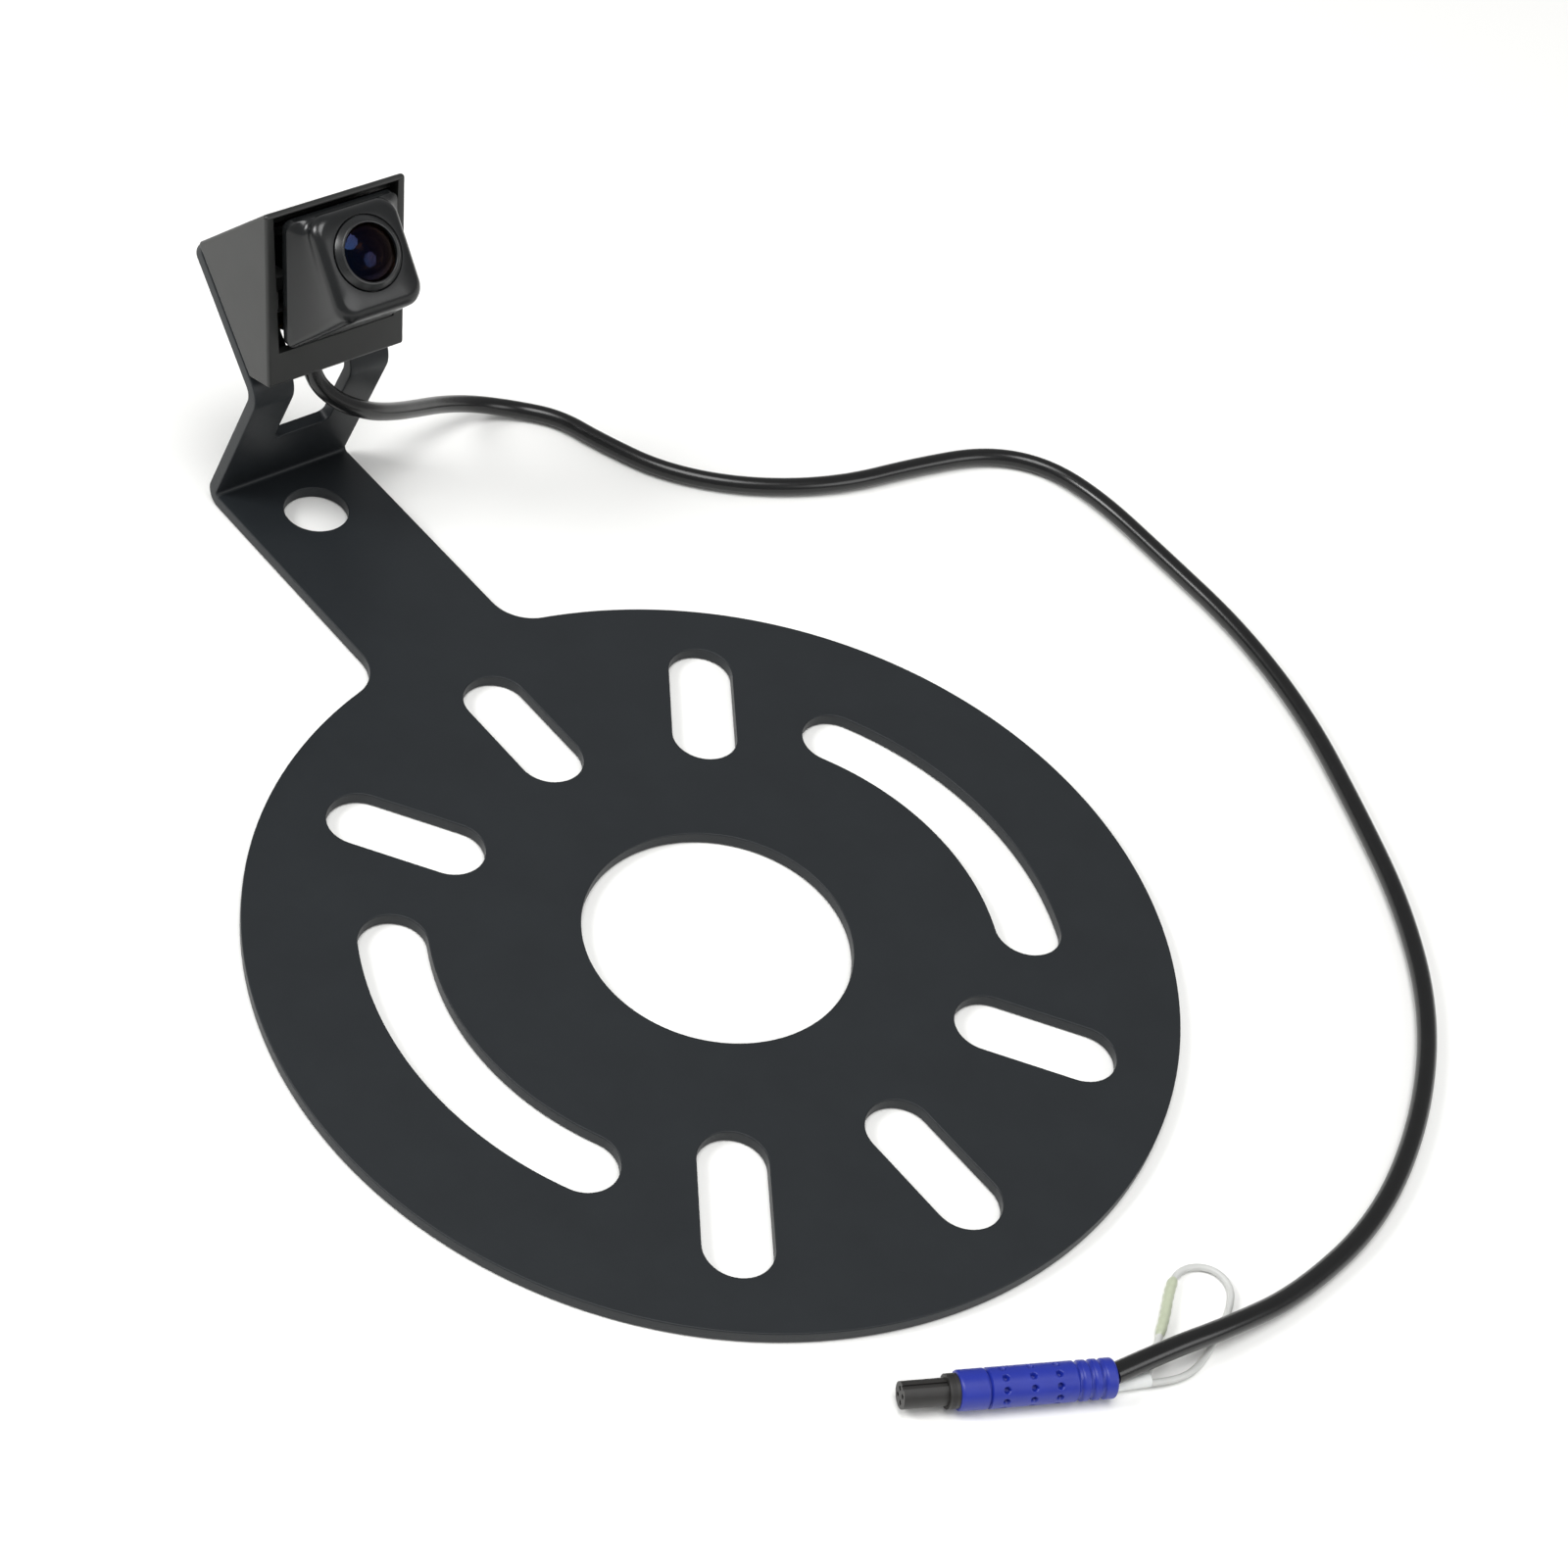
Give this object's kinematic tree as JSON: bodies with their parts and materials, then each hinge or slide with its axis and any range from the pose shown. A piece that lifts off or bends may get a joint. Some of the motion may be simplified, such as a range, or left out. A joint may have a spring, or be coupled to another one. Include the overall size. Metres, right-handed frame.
{
  "type": "backup camera",
  "caption": "Spare-wheel backup camera: slotted stud plate with a bent arm, hooded tilting camera, lead and waterproof plug.",
  "frame": {"origin": "hub bore's axis at the plate's underside, the face that lies against the wheel carrier", "axes": "+Z out of the plate's upper face, +Y along the arm to the camera, +X to the right of the arm"},
  "size_m": [0.2567, 0.2921, 0.082],
  "materials": {
    "powder_coat": "black satin powder coat on bent sheet steel",
    "abs_black": "black moulded ABS, fine texture",
    "abs_satin": "black moulded ABS, satin",
    "brass": "turned brass",
    "stainless": "stainless steel",
    "rubber": "black moulded rubber",
    "coated_glass": "coated lens glass",
    "clear_glass": "lens glass",
    "black_anodised": "black anodised",
    "circuit_board": "green solder mask on glass-fibre board",
    "chip": "sensor under its cover glass",
    "can": "drawn aluminium can",
    "nylon_white": "white nylon",
    "pvc_black": "black PVC cable jacket",
    "pvc_blue": "blue moulded PVC",
    "insert_black": "black moulded nylon",
    "wire_white": "white PVC wire insulation and shrink tube",
    "shrink_green": "pale green shrink tube"
  },
  "bodies": {
    "mount": {"mounting_bracket": "powder_coat", "camera_housing": "abs_black", "threaded_inserts": "brass", "fixing_screws": "stainless", "camera_cable": "pvc_black", "plug_sleeve": "pvc_blue", "plug_insert": "insert_black", "plug_contacts": "brass", "plug_ring": "rubber", "setting_wire": "wire_white", "wire_splice": "shrink_green", "wire_stub": "wire_white"},
    "camera_pod": {"pod_front_shell": "abs_satin", "pod_rear_shell": "abs_black", "pod_gasket": "rubber", "pod_screws": "stainless", "lens_trim_ring": "abs_satin", "front_lens": "coated_glass", "inner_lens": "clear_glass", "rear_lens": "clear_glass", "lens_barrel": "black_anodised", "lens_retainer": "black_anodised", "lens_seal": "rubber", "lens_holder": "abs_black", "sensor_board": "circuit_board", "image_sensor": "chip", "power_board": "circuit_board", "board_pins": "brass", "board_capacitors": "can", "cable_socket": "nylon_white", "friction_washers": "rubber", "cable_gland": "rubber"}
  },
  "joints": [
    {"name": "camera_tilt", "type": "hinge", "parent": "mount", "child": "camera_pod", "pos_m": [0, 0.14563, 0.0616], "axis": [1, 0, 0], "range_deg": [-6, 10], "deforming": ["camera_cable"]}
  ]
}
